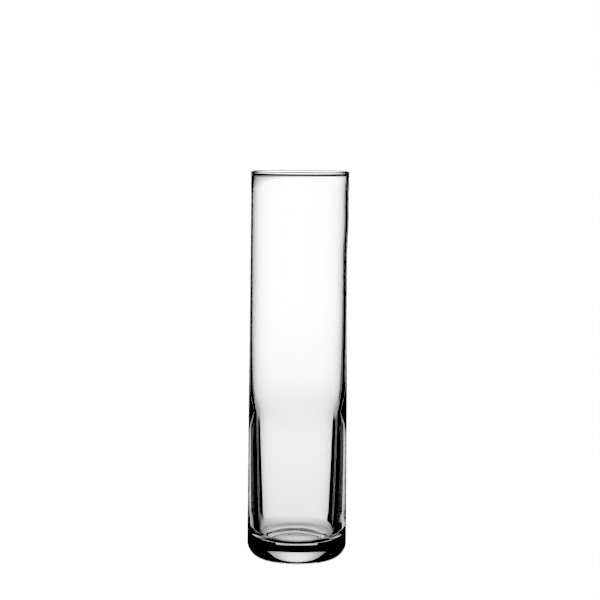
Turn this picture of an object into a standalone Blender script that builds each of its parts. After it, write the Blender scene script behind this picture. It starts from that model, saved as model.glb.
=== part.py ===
"""Glass cylinder vase: one blown and fire-polished piece of clear glass.

The whole vase is a single closed outline, turned once about the vertical Z axis. The outline
starts on the axis at the inner floor, climbs the bore, goes over the rim, runs down the outer
wall, round the heel and back to the axis under the foot. Units are metres, +Z is up, and the
origin is the centre of the foot, on the surface that the vase stands on.
"""

import math

import bpy

# Driving dimensions, in metres
HEIGHT = 0.2286
HEEL_TOP_RADIUS = 0.02955      # outside radius where the heel's curve meets the wall
RIM_OUTER_RADIUS = 0.02841     # outside radius of the wall just under the rim bead
HEEL_HEIGHT = 0.0080           # from the foot to the top of the heel's curve
HEEL_FULLNESS = 1.95           # exponent of the heel's superellipse: 2 is a plain ellipse
FOOT_RING_OUTER = 0.0230       # flat ring that the vase stands on
FOOT_RING_INNER = 0.0210
PUSH_UP_RISE = 0.0049          # height of the hollow under the foot, at the axis
PUSH_UP_FULLNESS = 3.1         # how flat the hollow is in the middle
PUSH_UP_EASE = 1.00            # how steeply it starts from the ring
FLOOR_THICKNESS = 0.0119       # solid glass from the table to the inner floor, at the axis
FLOOR_FALL = 0.0002            # how far the floor drops from the axis to its corner
CORNER_HEIGHT = 0.0073         # the bore's rounded bottom corner
CORNER_REACH = 0.0043
CORNER_FULLNESS = 2.4
RIM_BEAD_RADIUS = 0.00105      # fire-polished lip, a little thicker than the wall
RIM_BEAD_PROUD = 0.00025       # how far the lip stands out past the outer wall

# Wall thickness at a few heights: thin and even above, thickening towards the base
WALL_STATIONS = (
    (0.0150, 0.00700),
    (0.0200, 0.00670),
    (0.0270, 0.00625),
    (0.0370, 0.00590),
    (0.0500, 0.00550),
    (0.0770, 0.00470),
    (0.0850, 0.00405),
    (0.0910, 0.00320),
    (0.0970, 0.00260),
    (0.1050, 0.00220),
    (0.1180, 0.00195),
    (0.1500, 0.00180),
    (0.2180, 0.00150),
)

# Fineness of the turned surface
TURN_STEPS = 64
CORNER_STEPS = 7
WALL_STEPS = 12
RIM_STEPS = 6
HEEL_STEPS = 8
PUSH_UP_STEPS = 7
FLOOR_STEPS = 3
MERGE_DISTANCE = 0.00001
SMOOTH_ANGLE = math.radians(30)


def outer_radius(z):
    """Outside radius of the wall: it draws in slightly from the heel to the rim."""
    share = (z - HEEL_HEIGHT) / (HEIGHT - HEEL_HEIGHT)
    return HEEL_TOP_RADIUS + share * (RIM_OUTER_RADIUS - HEEL_TOP_RADIUS)


def wall_slope(index):
    """Rate of change of the wall at a station, limited so that it never over-swings."""
    if index in (0, len(WALL_STATIONS) - 1):
        return 0.0 if index else slope_between(0)
    before, after = slope_between(index - 1), slope_between(index)
    return 2 * before * after / (before + after)


def slope_between(index):
    """Rate of change of the wall between a station and the next."""
    (z_low, wall_low), (z_high, wall_high) = WALL_STATIONS[index:index + 2]
    return (wall_high - wall_low) / (z_high - z_low)


def wall_thickness(z):
    """Smooth wall thickness at a height, through the stations."""
    lowest, highest = WALL_STATIONS[0], WALL_STATIONS[-1]
    z = min(max(z, lowest[0]), highest[0])
    index = max(i for i in range(len(WALL_STATIONS) - 1) if WALL_STATIONS[i][0] <= z)
    (z_low, wall_low), (z_high, wall_high) = WALL_STATIONS[index:index + 2]
    step = z_high - z_low
    t = (z - z_low) / step
    value = (2 * t**3 - 3 * t**2 + 1) * wall_low + (3 * t**2 - 2 * t**3) * wall_high
    value += (t**3 - 2 * t**2 + t) * step * wall_slope(index)
    value += (t**3 - t**2) * step * wall_slope(index + 1)
    return value


def inner_radius(z):
    """Radius of the bore at a height."""
    return outer_radius(z) - wall_thickness(z)


def floor_points():
    """The inner floor, from the axis out to the foot of its rounded corner."""
    corner_top = FLOOR_THICKNESS - FLOOR_FALL + CORNER_HEIGHT
    reach = inner_radius(corner_top) - CORNER_REACH
    shares = [step / FLOOR_STEPS for step in range(FLOOR_STEPS)]
    return [(share * reach, FLOOR_THICKNESS - FLOOR_FALL * share**2) for share in shares]


def corner_points():
    """The quarter superellipse between the inner floor and the bore's wall."""
    low = FLOOR_THICKNESS - FLOOR_FALL
    centre = inner_radius(low + CORNER_HEIGHT) - CORNER_REACH
    power = 2 / CORNER_FULLNESS
    turns = [math.pi / 2 * step / CORNER_STEPS for step in range(CORNER_STEPS)]
    return [
        (
            centre + CORNER_REACH * math.sin(turn) ** power,
            low + CORNER_HEIGHT * (1 - math.cos(turn) ** power),
        )
        for turn in turns
    ]


def bore_points():
    """The bore's wall, from its corner up to the lip."""
    low = FLOOR_THICKNESS - FLOOR_FALL + CORNER_HEIGHT
    high = HEIGHT - 3 * RIM_BEAD_RADIUS
    heights = [low + (high - low) * step / WALL_STEPS for step in range(WALL_STEPS + 1)]
    return [(inner_radius(z), z) for z in heights]


def rim_points():
    """The rounded lip, from the bore over the top to the outer wall."""
    centre_r = RIM_OUTER_RADIUS + RIM_BEAD_PROUD - RIM_BEAD_RADIUS
    centre_z = HEIGHT - RIM_BEAD_RADIUS
    turns = [math.pi * (1 - step / RIM_STEPS) for step in range(RIM_STEPS + 1)]
    return [
        (centre_r + RIM_BEAD_RADIUS * math.cos(turn), centre_z + RIM_BEAD_RADIUS * math.sin(turn))
        for turn in turns
    ]


def outer_wall_points():
    """The straight outer wall, from under the lip down to the heel."""
    top = HEIGHT - 3 * RIM_BEAD_RADIUS
    middle = (top + HEEL_HEIGHT) / 2
    return [(outer_radius(z), z) for z in (top, middle)]


def heel_points():
    """The rounded heel, from the wall in to the ring that the vase stands on."""
    reach = HEEL_TOP_RADIUS - FOOT_RING_OUTER
    power = 2 / HEEL_FULLNESS
    turns = [math.pi / 2 * (1 - step / HEEL_STEPS) for step in range(HEEL_STEPS)]
    curve = [
        (
            FOOT_RING_OUTER + reach * math.sin(turn) ** power,
            HEEL_HEIGHT * (1 - math.cos(turn) ** power),
        )
        for turn in turns
    ]
    return curve + [(FOOT_RING_OUTER, 0.0)]


def foot_points():
    """The flat standing ring and the domed hollow inside it, in to the axis."""
    shares = [1 - step / PUSH_UP_STEPS for step in range(PUSH_UP_STEPS + 1)]
    return [
        (FOOT_RING_INNER * share, PUSH_UP_RISE * (1 - share**PUSH_UP_FULLNESS) ** PUSH_UP_EASE)
        for share in shares
    ]


def vase_outline():
    """Every point of the turned outline as (radius, height), from axis to axis."""
    inside = floor_points() + corner_points() + bore_points()
    return inside + rim_points() + outer_wall_points() + heel_points() + foot_points()


def glass_material():
    """Clear soda-lime glass."""
    material = bpy.data.materials.new("clear_glass")
    material.use_nodes = True
    shader = material.node_tree.nodes["Principled BSDF"]
    shader.inputs["Base Color"].default_value = (0.95, 0.97, 0.97, 1.0)
    shader.inputs["Roughness"].default_value = 0.0
    shader.inputs["Metallic"].default_value = 0.0
    shader.inputs["IOR"].default_value = 1.52
    shader.inputs["Transmission Weight"].default_value = 1.0
    return material


def turned_object(name, outline, material, collection):
    """A closed body turned from an outline whose two ends lie on the Z axis."""
    mesh = bpy.data.meshes.new(name)
    edges = [(index, index + 1) for index in range(len(outline) - 1)]
    mesh.from_pydata([(radius, 0.0, height) for radius, height in outline], edges, [])
    mesh.materials.append(material)
    turned = bpy.data.objects.new(name, mesh)
    collection.objects.link(turned)
    screw = turned.modifiers.new("Turn", "SCREW")
    screw.axis = "Z"
    screw.angle = 2 * math.pi
    screw.screw_offset = 0.0
    screw.steps = TURN_STEPS
    screw.render_steps = TURN_STEPS
    screw.use_merge_vertices = True
    screw.merge_threshold = MERGE_DISTANCE
    screw.use_smooth_shade = True
    return turned


def apply_turn(turned):
    """Make the turned surface a real mesh, so that its creases can be marked."""
    depsgraph = bpy.context.evaluated_depsgraph_get()
    mesh = bpy.data.meshes.new_from_object(turned.evaluated_get(depsgraph))
    turned.modifiers.clear()
    turned.data = mesh
    mesh.set_sharp_from_angle(angle=SMOOTH_ANGLE)


def main():
    for old in list(bpy.data.objects):
        bpy.data.objects.remove(old)
    collection = bpy.data.collections.new("glass_cylinder_vase")
    bpy.context.scene.collection.children.link(collection)
    vase = turned_object("glass_vase", vase_outline(), glass_material(), collection)
    apply_turn(vase)


main()
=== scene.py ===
"""Glass cylinder vase: a tall, clear, blown glass vase with a thick base, on a pale table.

Laid out as an add-on and run as a script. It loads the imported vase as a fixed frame, turns a fine
glass vase in its place, gives it a clear glass finish, and sets up a pale table, a light tent and a
camera. Units are metres, +Z is up, and the vase stands at the origin.
"""

import math

import bpy
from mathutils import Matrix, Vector


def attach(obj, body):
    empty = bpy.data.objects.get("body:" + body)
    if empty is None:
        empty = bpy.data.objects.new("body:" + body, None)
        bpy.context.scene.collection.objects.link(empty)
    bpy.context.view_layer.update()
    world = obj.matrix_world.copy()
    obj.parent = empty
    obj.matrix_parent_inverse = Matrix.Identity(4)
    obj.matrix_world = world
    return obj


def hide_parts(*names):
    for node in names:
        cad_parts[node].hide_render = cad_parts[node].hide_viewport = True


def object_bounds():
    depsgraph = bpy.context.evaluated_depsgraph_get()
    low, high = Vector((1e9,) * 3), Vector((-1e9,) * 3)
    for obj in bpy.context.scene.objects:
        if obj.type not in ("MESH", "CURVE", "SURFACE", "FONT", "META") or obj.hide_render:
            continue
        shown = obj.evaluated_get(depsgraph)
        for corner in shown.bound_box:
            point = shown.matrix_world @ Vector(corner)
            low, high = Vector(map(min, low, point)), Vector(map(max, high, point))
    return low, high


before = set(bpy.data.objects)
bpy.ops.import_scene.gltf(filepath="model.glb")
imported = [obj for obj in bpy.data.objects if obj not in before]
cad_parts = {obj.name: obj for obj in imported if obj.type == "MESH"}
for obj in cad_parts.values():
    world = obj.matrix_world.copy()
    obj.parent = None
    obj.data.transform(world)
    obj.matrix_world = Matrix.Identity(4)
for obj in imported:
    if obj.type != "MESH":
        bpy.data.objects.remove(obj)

bl_info = {
    "name": "Glass cylinder vase",
    "version": (1, 0, 0),
    "blender": (4, 5, 0),
    "location": "3D View > Sidebar > Glass vase",
    "description": "Turns a clear glass cylinder vase and sets it on a pale table in a light tent",
    "category": "Object",
}

CAD_LOW, CAD_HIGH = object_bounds()
CAD_RADIUS = (CAD_HIGH.x - CAD_LOW.x) / 2

# Fixed proportions of the outline, in metres
HEEL_HEIGHT = 0.0080
HEEL_FULLNESS = 1.95
FOOT_RING_OUTER = 0.0230
FOOT_RING_INNER = 0.0210
PUSH_UP_FULLNESS = 3.1
PUSH_UP_EASE = 1.0
FLOOR_FALL = 0.0002
FLOOR_FLATNESS = 3.5
CORNER_HEIGHT = 0.0073
CORNER_REACH = 0.0043
CORNER_FULLNESS = 2.4
WALL_ABOVE_HEEL = (
    (0.0200, 0.00670),
    (0.0270, 0.00625),
    (0.0370, 0.00590),
    (0.0500, 0.00550),
    (0.0770, 0.00470),
    (0.0850, 0.00405),
    (0.0910, 0.00320),
    (0.0970, 0.00260),
    (0.1050, 0.00220),
    (0.1180, 0.00190),
    (0.1500, 0.00165),
)
WALL_LOW_STATION = 0.0150
WALL_HIGH_STATION = 0.2180
RIM_BEAD_RADIUS = 0.00092
RIM_BEAD_PROUD = 0.00024
RIM_BLEND_HEIGHT = 0.0014

# Fineness of the outline
FLOOR_STEPS = 10
CORNER_STEPS = 12
BORE_STEPS = 72
RIM_STEPS = 14
BLEND_STEPS = 6
OUTER_STEPS = 40
HEEL_STEPS = 26
RING_STEPS = 4
PUSH_UP_STEPS = 22
SEED_SIZE = 0.001
WELD_DISTANCE = 0.000002
SMOOTH_ANGLE = math.radians(40)

# Where the blown wall leaves the true circle, in metres
FLARE_HEIGHT = 0.190
FLARE_FADE = 0.022
FLARE_REACH = 0.0007
FLARE_NARROWNESS = 2
BORE_DRIFT = 0.00030
DRIFT_FADE = 0.010

# Nicks round the standing ring: their depth, and the part of the ring's width that has them
STIPPLE_DEPTH = 0.00010
STIPPLE_BAND = (0.2, 0.8)

# Finish of the glass
RIPPLE_SCALE = (60.0, 60.0, 9.0)
RIPPLE_STRENGTH = 0.004
RIPPLE_DEPTH = 0.0002
SCUFF_SCALE = 900.0
SCUFF_DETAIL = 4.0
SCUFF_SPREAD = (0.40, 0.60)
SCUFF_ROUGHNESS = (0.15, 0.55)
WORN_HEIGHTS = (0.0002, 0.0005)
TINT_HEIGHTS = (0.10, 0.02)
DEPTH_DENSITY = 34.0

# The light tent as directions from the vase: side runs from 0 in the middle to 1 at right angles,
# up runs from -1 straight down to 1 straight up, and away is above 0 behind the vase
BEHIND = (-0.05, 0.05)
BACKDROP_SIDE_EDGE = (0.285, 0.305)
BACKDROP_SIDE_DIMMING = (0.15, 0.30, 1.0, 0.88)
BACKDROP_FOOT_EDGE = (-0.375, -0.335)
BACKDROP_FOOT_DIMMING = (-0.33, -0.12, 1.0, 1.2)
BACKDROP_TOP_DIMMING = (0.015, 0.085, 1.0, 0.45)
BACKDROP_TOP_EDGE = (0.090, 0.135)
TABLE_GLOW_NEAR = (-0.62, -0.38, 0.70, 1.0)
TABLE_GLOW_UNDER = (-0.92, -0.62, 0.10, 1.0)
TABLE_GLOW_BEHIND = (-0.15, 0.05)
TABLE_GLOW_REACH = 0.45
TABLE_GLOW_ROUNDNESS = 0.4
SIDE_STRIP_INNER = (0.78, 0.82)
SIDE_STRIP_OUTER = (0.93, 0.97)
SIDE_STRIP_HEIGHT = (0.5, 0.6)
ROOF_EDGE = (0.42, 0.58)
ROOF_SIDE_DIMMING = (0.0, 0.6, 1.0, 0.7)
ROOF_FRONT_DIMMING = (-0.3, 0.0, 0.5, 1.0)
TENT_RADIUS = 25.0
TENT_SUBDIVISIONS = 6

# Stage
TABLE_SIZE = 30.0
TABLE_ROUGHNESS = 0.9
MOTTLE_SCALE = 40.0
MOTTLE_SHADE = 0.995
SENSOR_WIDTH = 36.0
CAMERA_REACH = 40.0
BLACK_LEVEL = 0.05
GLASS_BOUNCES = 24
MIRROR_BOUNCES = 12


class VaseSettings(bpy.types.PropertyGroup):
    """Sizes and colour of the glass."""

    height: bpy.props.FloatProperty(
        name="Height", description="From the table to the top of the rim",
        default=CAD_HIGH.z, min=0.1, max=0.4, unit="LENGTH",
    )
    base_radius: bpy.props.FloatProperty(
        name="Base radius", description="Outside radius just above the rounded heel",
        default=CAD_RADIUS, min=0.01, max=0.1, unit="LENGTH",
    )
    rim_radius: bpy.props.FloatProperty(
        name="Rim radius", description="Outside radius of the wall just under the rim",
        default=0.02841, min=0.01, max=0.1, unit="LENGTH",
    )
    rim_wall: bpy.props.FloatProperty(
        name="Rim wall", description="Wall thickness just under the rim",
        default=0.0015, min=0.0008, max=0.006, unit="LENGTH",
    )
    base_wall: bpy.props.FloatProperty(
        name="Base wall", description="Wall thickness just above the inner floor's corner",
        default=0.0070, min=0.002, max=0.012, unit="LENGTH",
    )
    floor_thickness: bpy.props.FloatProperty(
        name="Floor thickness", description="Solid glass from the table to the inner floor",
        default=0.0119, min=0.004, max=0.03, unit="LENGTH",
    )
    push_up: bpy.props.FloatProperty(
        name="Push-up", description="Height of the hollow under the foot, at the axis",
        default=0.0049, min=0.0, max=0.008, unit="LENGTH",
    )
    turn_steps: bpy.props.IntProperty(
        name="Turn steps", description="Number of facets round the vase",
        default=288, min=32, max=512,
    )
    glass_colour: bpy.props.FloatVectorProperty(
        name="Glass colour", description="Tint that the glass gives to light passing its skin",
        default=(0.996, 0.996, 0.998), subtype="COLOR", min=0.0, max=1.0,
    )
    depth_colour: bpy.props.FloatVectorProperty(
        name="Depth colour", description="Tint that builds up inside thick glass",
        default=(0.855, 0.856, 0.860), subtype="COLOR", min=0.0, max=1.0,
    )
    refraction: bpy.props.FloatProperty(
        name="Refractive index", description="How strongly the glass bends light",
        default=1.52, min=1.0, max=2.0,
    )


class StageSettings(bpy.types.PropertyGroup):
    """Table, light tent and camera."""

    table_colour: bpy.props.FloatVectorProperty(
        name="Table colour", description="Colour of the pale table",
        default=(0.95, 0.95, 0.95), subtype="COLOR", min=0.0, max=1.0,
    )
    sky_strength: bpy.props.FloatProperty(
        name="Sky strength", description="Soft light that falls on the table",
        default=1.07, min=0.0, max=5.0,
    )
    backdrop_strength: bpy.props.FloatProperty(
        name="Backdrop strength", description="Brightness of the lit sheet behind the vase",
        default=1.0, min=0.0, max=5.0,
    )
    overhead_strength: bpy.props.FloatProperty(
        name="Overhead strength", description="Brightness of the tent's roof",
        default=1.1, min=0.0, max=5.0,
    )
    side_strength: bpy.props.FloatProperty(
        name="Side strength", description="Brightness of the dim strips at either side",
        default=0.02, min=0.0, max=1.0,
    )
    camera_distance: bpy.props.FloatProperty(
        name="Camera distance", description="From the vase's axis to the camera, along the table",
        default=0.900, min=0.2, max=5.0, unit="LENGTH",
    )
    camera_height: bpy.props.FloatProperty(
        name="Camera height", description="From the table to the camera",
        default=0.2504, min=0.0, max=2.0, unit="LENGTH",
    )
    camera_tilt: bpy.props.FloatProperty(
        name="Camera tilt", description="How far the camera looks down",
        default=math.radians(6.18), subtype="ANGLE",
    )
    camera_roll: bpy.props.FloatProperty(
        name="Camera roll", description="How far the camera leans to one side",
        default=math.radians(0.47), subtype="ANGLE",
    )
    lens: bpy.props.FloatProperty(
        name="Lens", description="Focal length on a 36 mm sensor, in millimetres",
        default=92.2, min=20.0, max=300.0,
    )


# The outline ----------------------------------------------------------------------------------


def outer_radius(vase, z):
    """Outside radius of the wall: it draws in slightly from the heel to the rim."""
    share = (z - HEEL_HEIGHT) / (vase.height - HEEL_HEIGHT)
    return vase.base_radius + share * (vase.rim_radius - vase.base_radius)


def wall_stations(vase):
    """Wall thickness at a few heights, from the base up to the rim."""
    low = (WALL_LOW_STATION, vase.base_wall)
    high = (WALL_HIGH_STATION, vase.rim_wall)
    return (low,) + WALL_ABOVE_HEEL + (high,)


def station_slope(stations, index):
    """Rate of change of the wall at a station, limited so that it never over-swings."""
    def between(i):
        return (stations[i + 1][1] - stations[i][1]) / (stations[i + 1][0] - stations[i][0])

    if index == 0:
        return between(0)
    if index == len(stations) - 1:
        return 0.0
    before, after = between(index - 1), between(index)
    return 2 * before * after / (before + after)


def wall_thickness(stations, z):
    """Smooth wall thickness at a height, through the stations."""
    z = min(max(z, stations[0][0]), stations[-1][0])
    index = max(i for i in range(len(stations) - 1) if stations[i][0] <= z)
    (z_low, wall_low), (z_high, wall_high) = stations[index:index + 2]
    step = z_high - z_low
    t = (z - z_low) / step
    value = (2 * t**3 - 3 * t**2 + 1) * wall_low + (3 * t**2 - 2 * t**3) * wall_high
    value += (t**3 - 2 * t**2 + t) * step * station_slope(stations, index)
    value += (t**3 - t**2) * step * station_slope(stations, index + 1)
    return value


def eased(share):
    """A smooth step from 0 to 1."""
    share = min(max(share, 0.0), 1.0)
    return share * share * (3 - 2 * share)


def inside_points(vase):
    """Inner floor, corner and bore, up to where the rim's bead starts."""
    stations = wall_stations(vase)
    bead_centre = vase.rim_radius + RIM_BEAD_PROUD - RIM_BEAD_RADIUS
    bead_height = vase.height - RIM_BEAD_RADIUS
    blend_start = bead_height - RIM_BLEND_HEIGHT

    def bore_radius(z):
        plain = outer_radius(vase, z) - wall_thickness(stations, z)
        share = eased((z - blend_start) / RIM_BLEND_HEIGHT)
        return plain + share * (bead_centre - RIM_BEAD_RADIUS - plain)

    points = []
    floor_edge = vase.floor_thickness - FLOOR_FALL
    corner_top = floor_edge + CORNER_HEIGHT
    corner_centre = bore_radius(corner_top) - CORNER_REACH
    for step in range(FLOOR_STEPS):
        share = step / FLOOR_STEPS
        fall = FLOOR_FALL * share**FLOOR_FLATNESS
        points.append((share * corner_centre, vase.floor_thickness - fall))
    power = 2 / CORNER_FULLNESS
    for step in range(CORNER_STEPS):
        turn = math.pi / 2 * step / CORNER_STEPS
        points.append((
            corner_centre + CORNER_REACH * math.sin(turn) ** power,
            floor_edge + CORNER_HEIGHT * (1 - math.cos(turn) ** power),
        ))
    for step in range(BORE_STEPS):
        z = corner_top + (blend_start - corner_top) * step / BORE_STEPS
        points.append((bore_radius(z), z))
    for step in range(BLEND_STEPS):
        z = blend_start + RIM_BLEND_HEIGHT * step / BLEND_STEPS
        points.append((bore_radius(z), z))
    return points


def rim_points(vase):
    """The rounded bead of the rim, from its inner side to its outer side."""
    bead_centre = vase.rim_radius + RIM_BEAD_PROUD - RIM_BEAD_RADIUS
    bead_height = vase.height - RIM_BEAD_RADIUS
    points = []
    for step in range(RIM_STEPS + 1):
        turn = math.pi * (1 - step / RIM_STEPS)
        points.append((
            bead_centre + RIM_BEAD_RADIUS * math.cos(turn),
            bead_height + RIM_BEAD_RADIUS * math.sin(turn),
        ))
    return points


def outside_points(vase):
    """The outer wall from under the bead down to the heel."""
    bead_height = vase.height - RIM_BEAD_RADIUS
    blend_start = bead_height - RIM_BLEND_HEIGHT
    points = []
    for step in range(1, BLEND_STEPS):
        z = bead_height - RIM_BLEND_HEIGHT * step / BLEND_STEPS
        proud = RIM_BEAD_PROUD * eased((z - blend_start) / RIM_BLEND_HEIGHT)
        points.append((outer_radius(vase, z) + proud, z))
    for step in range(OUTER_STEPS):
        z = blend_start + (HEEL_HEIGHT - blend_start) * step / OUTER_STEPS
        points.append((outer_radius(vase, z), z))
    return points


def foot_points(vase):
    """The rounded heel, the flat standing ring and the hollow under the foot."""
    reach = vase.base_radius - FOOT_RING_OUTER
    power = 2 / HEEL_FULLNESS
    points = []
    for step in range(HEEL_STEPS):
        turn = math.pi / 2 * (1 - step / HEEL_STEPS)
        points.append((
            FOOT_RING_OUTER + reach * math.sin(turn) ** power,
            HEEL_HEIGHT * (1 - math.cos(turn) ** power),
        ))
    points.append((FOOT_RING_OUTER, 0.0))
    for step in range(1, RING_STEPS):
        share = 1 - step / RING_STEPS
        points.append((FOOT_RING_INNER + share * (FOOT_RING_OUTER - FOOT_RING_INNER), 0.0))
    for step in range(PUSH_UP_STEPS + 1):
        share = 1 - step / PUSH_UP_STEPS
        rise = vase.push_up * (1 - share**PUSH_UP_FULLNESS) ** PUSH_UP_EASE
        points.append((FOOT_RING_INNER * share, rise))
    return points


# Modelling ------------------------------------------------------------------------------------


def deselect_everything():
    """Nothing else may be selected while a piece is shaped."""
    if bpy.context.object and bpy.context.object.mode != "OBJECT":
        bpy.ops.object.mode_set(mode="OBJECT")
    bpy.ops.object.select_all(action="DESELECT")


def spun_piece(name, outline, steps):
    """A closed body: the outline is extruded point by point, then spun about the Z axis."""
    deselect_everything()
    start = Vector((outline[0][0], 0.0, outline[0][1]))
    bpy.ops.mesh.primitive_plane_add(size=SEED_SIZE, location=(0, 0, 0))
    piece = bpy.context.object
    piece.name = piece.data.name = name
    bpy.ops.object.mode_set(mode="EDIT")
    bpy.ops.mesh.select_all(action="SELECT")
    bpy.ops.mesh.merge(type="CENTER")
    bpy.ops.transform.translate(value=start)
    for (r_from, z_from), (r_to, z_to) in zip(outline, outline[1:]):
        bpy.ops.mesh.extrude_vertices_move(
            TRANSFORM_OT_translate={"value": (r_to - r_from, 0.0, z_to - z_from)}
        )
    bpy.ops.mesh.select_all(action="SELECT")
    bpy.ops.mesh.spin(steps=steps, angle=2 * math.pi, center=(0, 0, 0), axis=(0, 0, 1))
    bpy.ops.mesh.select_all(action="SELECT")
    bpy.ops.mesh.remove_doubles(threshold=WELD_DISTANCE)
    bpy.ops.mesh.normals_make_consistent(inside=False)
    bpy.ops.object.mode_set(mode="OBJECT")
    return piece


def blow_out_of_round(piece, vase):
    """Hand work on the turned wall: the top flares to one side, and the bore sits off centre."""
    stations = wall_stations(vase)
    drift_top = vase.height - RIM_BEAD_RADIUS - RIM_BLEND_HEIGHT
    for vertex in piece.data.vertices:
        x, y, z = vertex.co
        radius = math.hypot(x, y)
        if radius < FOOT_RING_INNER or z < HEEL_HEIGHT:
            continue
        facing = x / radius
        up_the_flare = eased((z - FLARE_HEIGHT) / FLARE_FADE + 0.5)
        flare = FLARE_REACH * up_the_flare * max(facing, 0.0) ** FLARE_NARROWNESS
        middle = outer_radius(vase, z) - wall_thickness(stations, z) / 2
        drift = 0.0
        if radius < middle:
            above_floor = eased((z - vase.floor_thickness) / DRIFT_FADE)
            below_rim = eased((drift_top - z) / DRIFT_FADE)
            drift = -BORE_DRIFT * above_floor * below_rim * facing
        scale = (radius + flare + drift) / radius
        vertex.co.x = x * scale
        vertex.co.y = y * scale


def stipple_ring(piece, steps):
    """Fine nicks round the middle of the standing ring, every other facet."""
    width = FOOT_RING_OUTER - FOOT_RING_INNER
    low, high = (FOOT_RING_INNER + share * width for share in STIPPLE_BAND)
    for vertex in piece.data.vertices:
        x, y, z = vertex.co
        if z > WELD_DISTANCE or not low < math.hypot(x, y) < high:
            continue
        facet = round(math.atan2(y, x) / (2 * math.pi) * steps)
        if facet % 2:
            vertex.co.z = STIPPLE_DEPTH


# Materials ------------------------------------------------------------------------------------


def new_material(name):
    """An empty node material and its shader."""
    material = bpy.data.materials.new(name)
    material.use_nodes = True
    return material, material.node_tree.nodes["Principled BSDF"]


def fade(tree, value, start, end, low=0.0, high=1.0):
    """Straight ramp: low at start, high at end, held outside them."""
    node = tree.nodes.new("ShaderNodeMapRange")
    node.inputs["From Min"].default_value = start
    node.inputs["From Max"].default_value = end
    node.inputs["To Min"].default_value = low
    node.inputs["To Max"].default_value = high
    tree.links.new(value, node.inputs["Value"])
    return node.outputs["Result"]


def fade_out(tree, value, start, end):
    """Straight ramp from 1 at start to 0 at end."""
    return fade(tree, value, start, end, 1.0, 0.0)


def maths(tree, operation, *values):
    """One sum on sockets or plain numbers."""
    node = tree.nodes.new("ShaderNodeMath")
    node.operation = operation
    for socket, value in zip(node.inputs, values):
        if isinstance(value, (int, float)):
            socket.default_value = value
        else:
            tree.links.new(value, socket)
    return node.outputs["Value"]


def product(tree, first, *others):
    """All the values multiplied together."""
    for other in others:
        first = maths(tree, "MULTIPLY", first, other)
    return first


def clear_glass(vase):
    """Clear soda-lime glass: polished wall with faint drawn ripple, worn standing ring."""
    material, shader = new_material("clear_glass")
    tree = material.node_tree
    shader.inputs["Metallic"].default_value = 0.0
    shader.inputs["IOR"].default_value = vase.refraction
    shader.inputs["Transmission Weight"].default_value = 1.0
    place = tree.nodes.new("ShaderNodeTexCoord").outputs["Object"]
    split = tree.nodes.new("ShaderNodeSeparateXYZ")
    tree.links.new(place, split.inputs["Vector"])
    height = split.outputs["Z"]

    stretch = tree.nodes.new("ShaderNodeMapping")
    stretch.inputs["Scale"].default_value = RIPPLE_SCALE
    tree.links.new(place, stretch.inputs["Vector"])
    ripple = tree.nodes.new("ShaderNodeTexNoise")
    ripple.inputs["Scale"].default_value = 1.0
    ripple.inputs["Detail"].default_value = 1.0
    tree.links.new(stretch.outputs["Vector"], ripple.inputs["Vector"])
    bump = tree.nodes.new("ShaderNodeBump")
    bump.inputs["Strength"].default_value = RIPPLE_STRENGTH
    bump.inputs["Distance"].default_value = RIPPLE_DEPTH
    tree.links.new(ripple.outputs["Fac"], bump.inputs["Height"])
    tree.links.new(bump.outputs["Normal"], shader.inputs["Normal"])

    scuffs = tree.nodes.new("ShaderNodeTexNoise")
    scuffs.inputs["Scale"].default_value = SCUFF_SCALE
    scuffs.inputs["Detail"].default_value = SCUFF_DETAIL
    tree.links.new(place, scuffs.inputs["Vector"])
    worn = product(
        tree,
        fade_out(tree, height, *WORN_HEIGHTS),
        fade(tree, scuffs.outputs["Fac"], *SCUFF_SPREAD, *SCUFF_ROUGHNESS),
    )
    tree.links.new(worn, shader.inputs["Roughness"])

    tint = tree.nodes.new("ShaderNodeMix")
    tint.data_type = "RGBA"
    tint.inputs["A"].default_value = (1.0, 1.0, 1.0, 1.0)
    tint.inputs["B"].default_value = (*vase.glass_colour, 1.0)
    tree.links.new(fade(tree, height, *TINT_HEIGHTS), tint.inputs["Factor"])
    tree.links.new(tint.outputs["Result"], shader.inputs["Base Color"])

    body = tree.nodes.new("ShaderNodeVolumeAbsorption")
    body.inputs["Color"].default_value = (*vase.depth_colour, 1.0)
    body.inputs["Density"].default_value = DEPTH_DENSITY
    tree.links.new(body.outputs["Volume"], tree.nodes["Material Output"].inputs["Volume"])
    return material


def backdrop_glow(tree, side, away, up, stage):
    """The lit sheet behind the vase, with crisp sides and a soft top."""
    return product(
        tree,
        fade_out(tree, side, *BACKDROP_SIDE_EDGE),
        fade(tree, side, *BACKDROP_SIDE_DIMMING),
        fade(tree, up, *BACKDROP_FOOT_EDGE),
        fade(tree, up, *BACKDROP_FOOT_DIMMING),
        fade(tree, up, *BACKDROP_TOP_DIMMING),
        fade_out(tree, up, *BACKDROP_TOP_EDGE),
        fade(tree, away, *BEHIND),
        stage.backdrop_strength,
    )


def table_glow(tree, side, away, up, stage):
    """The lit table below the sheet, dimmer near the vase and dark right under it."""
    across = fade_out(tree, side, 0.0, TABLE_GLOW_REACH)
    return product(
        tree,
        fade(tree, up, *TABLE_GLOW_NEAR),
        fade(tree, up, *TABLE_GLOW_UNDER),
        maths(tree, "POWER", across, TABLE_GLOW_ROUNDNESS),
        fade(tree, away, *TABLE_GLOW_BEHIND),
        fade_out(tree, up, *BACKDROP_FOOT_EDGE),
        stage.backdrop_strength,
    )


def side_glow(tree, side, up, stage):
    """The dim strips far out at either side."""
    return product(
        tree,
        fade(tree, side, *SIDE_STRIP_INNER),
        fade_out(tree, side, *SIDE_STRIP_OUTER),
        fade_out(tree, maths(tree, "ABSOLUTE", up), *SIDE_STRIP_HEIGHT),
        stage.side_strength,
    )


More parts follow.
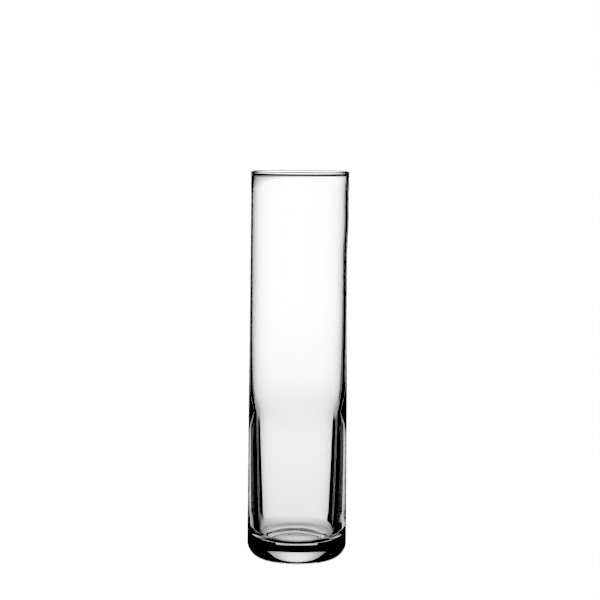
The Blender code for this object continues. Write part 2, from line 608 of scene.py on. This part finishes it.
def roof_glow(tree, side, away, up, stage):
    """The tent's roof, brightest behind the vase."""
    return product(
        tree,
        fade(tree, up, *ROOF_EDGE),
        fade(tree, side, *ROOF_SIDE_DIMMING),
        fade(tree, away, *ROOF_FRONT_DIMMING),
        stage.overhead_strength,
    )


def tent_glow(stage):
    """The light tent's inside: lit sheet, lit table, dim side strips and roof, dark elsewhere.

    The tent's own axes: X to the side, Y away from the camera, Z up.
    """
    material = bpy.data.materials.new("tent_glow")
    material.use_nodes = True
    material.cycles.emission_sampling = "NONE"
    tree = material.node_tree
    tree.nodes.clear()
    place = tree.nodes.new("ShaderNodeTexCoord").outputs["Object"]
    unit = tree.nodes.new("ShaderNodeVectorMath")
    unit.operation = "NORMALIZE"
    tree.links.new(place, unit.inputs[0])
    split = tree.nodes.new("ShaderNodeSeparateXYZ")
    tree.links.new(unit.outputs["Vector"], split.inputs["Vector"])
    side = maths(tree, "ABSOLUTE", split.outputs["X"])
    away = split.outputs["Y"]
    up = split.outputs["Z"]

    total = maths(
        tree, "ADD",
        backdrop_glow(tree, side, away, up, stage),
        table_glow(tree, side, away, up, stage),
    )
    total = maths(tree, "ADD", total, side_glow(tree, side, up, stage))
    total = maths(tree, "ADD", total, roof_glow(tree, side, away, up, stage))
    glow = tree.nodes.new("ShaderNodeEmission")
    tree.links.new(total, glow.inputs["Strength"])
    output = tree.nodes.new("ShaderNodeOutputMaterial")
    tree.links.new(glow.outputs["Emission"], output.inputs["Surface"])
    return material


def table_top(stage):
    """Matt pale laminate with a faint mottle."""
    material, shader = new_material("pale_table_top")
    tree = material.node_tree
    shader.inputs["Roughness"].default_value = TABLE_ROUGHNESS
    shader.inputs["Specular IOR Level"].default_value = 0.0
    mottle = tree.nodes.new("ShaderNodeTexNoise")
    mottle.inputs["Scale"].default_value = MOTTLE_SCALE
    place = tree.nodes.new("ShaderNodeTexCoord").outputs["Object"]
    tree.links.new(place, mottle.inputs["Vector"])
    tint = tree.nodes.new("ShaderNodeMix")
    tint.data_type = "RGBA"
    colour = Vector(stage.table_colour)
    tint.inputs["A"].default_value = (*colour, 1.0)
    tint.inputs["B"].default_value = (*(colour * MOTTLE_SHADE), 1.0)
    tree.links.new(mottle.outputs["Fac"], tint.inputs["Factor"])
    tree.links.new(tint.outputs["Result"], shader.inputs["Base Color"])
    return material


# Stage ----------------------------------------------------------------------------------------


def place_camera(stage):
    """A long lens a little above the rim, looking slightly down."""
    deselect_everything()
    bpy.ops.object.camera_add(location=(0, -stage.camera_distance, stage.camera_height))
    camera = bpy.context.object
    camera.name = "front_camera"
    camera.rotation_euler = (math.pi / 2 - stage.camera_tilt, -stage.camera_roll, 0.0)
    camera.data.lens = stage.lens
    camera.data.sensor_width = SENSOR_WIDTH
    camera.data.clip_end = CAMERA_REACH
    bpy.context.scene.camera = camera
    return camera


def lay_table(stage):
    """A wide pale table top, which the glass doesn't mirror."""
    deselect_everything()
    bpy.ops.mesh.primitive_plane_add(size=TABLE_SIZE, location=(0, 0, 0))
    table = bpy.context.object
    table.name = table.data.name = "pale_table"
    table.data.materials.append(table_top(stage))
    table.visible_transmission = False
    table.visible_glossy = False


def light_world(stage):
    """White where the camera looks past the table and for light on the table; dark for glass."""
    scene = bpy.context.scene
    world = bpy.data.worlds.new("studio")
    scene.world = world
    world.use_nodes = True
    tree = world.node_tree
    background = tree.nodes["Background"]
    background.inputs["Color"].default_value = (1.0, 1.0, 1.0, 1.0)
    path = tree.nodes.new("ShaderNodeLightPath")
    soft = maths(tree, "MULTIPLY", path.outputs["Is Diffuse Ray"], stage.sky_strength)
    strength = maths(tree, "ADD", path.outputs["Is Camera Ray"], soft)
    tree.links.new(strength, background.inputs["Strength"])
    scene.view_settings.view_transform = "Standard"
    scene.view_settings.use_curve_mapping = True
    scene.view_settings.curve_mapping.black_level = (BLACK_LEVEL, BLACK_LEVEL, BLACK_LEVEL)
    scene.cycles.max_bounces = GLASS_BOUNCES
    scene.cycles.transmission_bounces = GLASS_BOUNCES
    scene.cycles.glossy_bounces = MIRROR_BOUNCES


def hang_tent(stage, camera):
    """A round light tent that only the glass sees. It turns with the line of sight."""
    deselect_everything()
    middle = (CAD_LOW + CAD_HIGH) / 2
    bpy.ops.object.empty_add(type="PLAIN_AXES", location=middle)
    rig = bpy.context.object
    rig.name = "lamp_rig"
    follow = rig.constraints.new("COPY_ROTATION")
    follow.target = camera
    deselect_everything()
    bpy.ops.mesh.primitive_ico_sphere_add(
        subdivisions=TENT_SUBDIVISIONS, radius=TENT_RADIUS, location=(0, 0, 0),
    )
    tent = bpy.context.object
    tent.name = tent.data.name = "light_tent"
    tent.location = middle
    tent.parent = rig
    bpy.context.view_layer.update()
    tent.matrix_parent_inverse = rig.matrix_world.inverted()
    tent.data.materials.append(tent_glow(stage))
    tent.visible_camera = False
    tent.visible_diffuse = False
    tent.visible_shadow = False


# Operators ------------------------------------------------------------------------------------


class GLASSVASE_OT_turn_vase(bpy.types.Operator):
    """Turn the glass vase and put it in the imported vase's place"""

    bl_idname = "glassvase.turn_vase"
    bl_label = "Turn the vase"

    def execute(self, context):
        vase = context.scene.glassvase_vase
        outline = inside_points(vase) + rim_points(vase) + outside_points(vase) + foot_points(vase)
        piece = spun_piece("clear_glass_vase", outline, vase.turn_steps)
        blow_out_of_round(piece, vase)
        stipple_ring(piece, vase.turn_steps)
        bpy.ops.object.shade_smooth_by_angle(angle=SMOOTH_ANGLE)
        piece.data.materials.append(clear_glass(vase))
        piece.visible_diffuse = False
        piece.visible_shadow = False
        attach(piece, "root")
        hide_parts("glass_vase")
        return {"FINISHED"}


class GLASSVASE_OT_set_stage(bpy.types.Operator):
    """Lay the pale table, hang the light tent and place the camera"""

    bl_idname = "glassvase.set_stage"
    bl_label = "Set the stage"

    def execute(self, context):
        stage = context.scene.glassvase_stage
        camera = place_camera(stage)
        lay_table(stage)
        light_world(stage)
        hang_tent(stage, camera)
        return {"FINISHED"}


class GLASSVASE_PT_panel(bpy.types.Panel):
    """Glass vase tools"""

    bl_idname = "GLASSVASE_PT_panel"
    bl_label = "Glass vase"
    bl_space_type = "VIEW_3D"
    bl_region_type = "UI"
    bl_category = "Glass vase"

    def draw(self, context):
        layout = self.layout
        for settings in (context.scene.glassvase_vase, context.scene.glassvase_stage):
            column = layout.column(align=True)
            for name in settings.__annotations__:
                column.prop(settings, name)
        layout.operator(GLASSVASE_OT_turn_vase.bl_idname)
        layout.operator(GLASSVASE_OT_set_stage.bl_idname)


CLASSES = (
    VaseSettings,
    StageSettings,
    GLASSVASE_OT_turn_vase,
    GLASSVASE_OT_set_stage,
    GLASSVASE_PT_panel,
)


def register():
    for cls in CLASSES:
        bpy.utils.register_class(cls)
    bpy.types.Scene.glassvase_vase = bpy.props.PointerProperty(type=VaseSettings)
    bpy.types.Scene.glassvase_stage = bpy.props.PointerProperty(type=StageSettings)


def unregister():
    del bpy.types.Scene.glassvase_stage
    del bpy.types.Scene.glassvase_vase
    for cls in reversed(CLASSES):
        bpy.utils.unregister_class(cls)


def main():
    register()
    bpy.ops.glassvase.turn_vase()
    bpy.ops.glassvase.set_stage()


if __name__ == "__main__":
    main()
